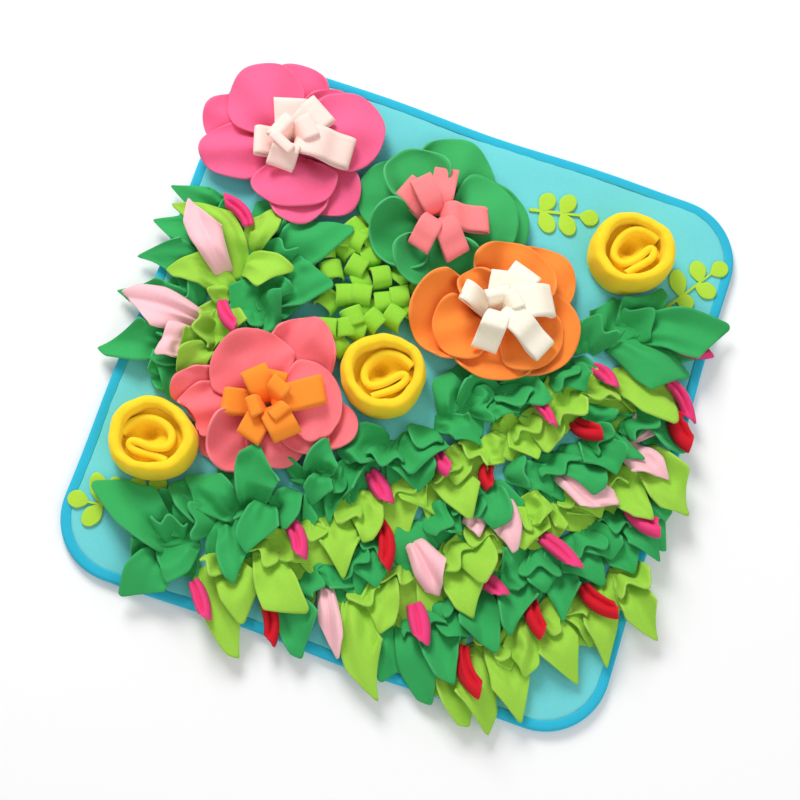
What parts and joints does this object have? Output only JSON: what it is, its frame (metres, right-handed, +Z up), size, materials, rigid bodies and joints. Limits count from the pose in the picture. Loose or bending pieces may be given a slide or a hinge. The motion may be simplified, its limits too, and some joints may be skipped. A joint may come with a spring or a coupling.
{
  "type": "snuffle mat",
  "caption": "Square padded fleece snuffle mat for a pet, covered with sewn-on leaves, layered flowers with loop centres, arched loops and rolled roses that hide treats.",
  "frame": {"origin": "middle of the pad's underside, on the floor", "axes": "+Z up out of the pile; +X to the right along the back edge; +Y towards the back edge, where the top flowers are"},
  "size_m": [0.533, 0.5109, 0.049],
  "materials": {
    "pad": "matt fleece",
    "binding": "matt fleece",
    "sprig": "matt fleece",
    "yellow": "matt fleece",
    "loop_green": "matt fleece",
    "coral": "matt fleece",
    "warm_orange": "matt fleece",
    "petal_green": "matt fleece",
    "soft_coral": "matt fleece",
    "orange": "matt fleece",
    "cream": "matt fleece",
    "hot_pink": "matt fleece",
    "shell": "matt fleece",
    "light_leaf": "matt fleece",
    "red": "matt fleece",
    "dark_leaf": "matt fleece",
    "magenta": "matt fleece",
    "pale_pink": "matt fleece"
  },
  "bodies": {
    "root": {"pad": "pad", "edge_binding": "binding", "sprig_1": "sprig", "sprig_2": "sprig", "sprig_3": "sprig", "sprig_4": "sprig", "sprig_5": "sprig", "rose_band_1": "yellow", "rose_curl_1": "yellow", "rose_band_2": "yellow", "rose_curl_2": "yellow", "rose_band_3": "yellow", "rose_curl_3": "yellow", "arched_loops": "loop_green", "coral_flower_outer": "coral", "coral_flower_inner": "coral", "coral_flower_loops": "warm_orange", "green_flower_outer": "petal_green", "green_flower_inner": "petal_green", "green_flower_loops": "soft_coral", "orange_flower_outer": "orange", "orange_flower_inner": "orange", "orange_flower_loops": "cream", "pink_flower_outer": "hot_pink", "pink_flower_inner": "hot_pink", "pink_flower_loops": "shell", "light_leaves_outer": "light_leaf", "red_buds_outer": "red", "dark_leaves_outer": "dark_leaf", "magenta_buds_outer": "magenta", "light_leaves_middle": "light_leaf", "pale_buds": "pale_pink", "dark_leaves_middle": "dark_leaf", "red_buds_middle": "red", "light_leaves_upper": "light_leaf", "magenta_buds_upper": "magenta", "dark_leaves_upper": "dark_leaf", "bush_dark_left": "dark_leaf", "bush_pale": "pale_pink", "bush_dark_right": "dark_leaf", "bush_light": "light_leaf", "bush_magenta": "magenta"}
  },
  "joints": []
}
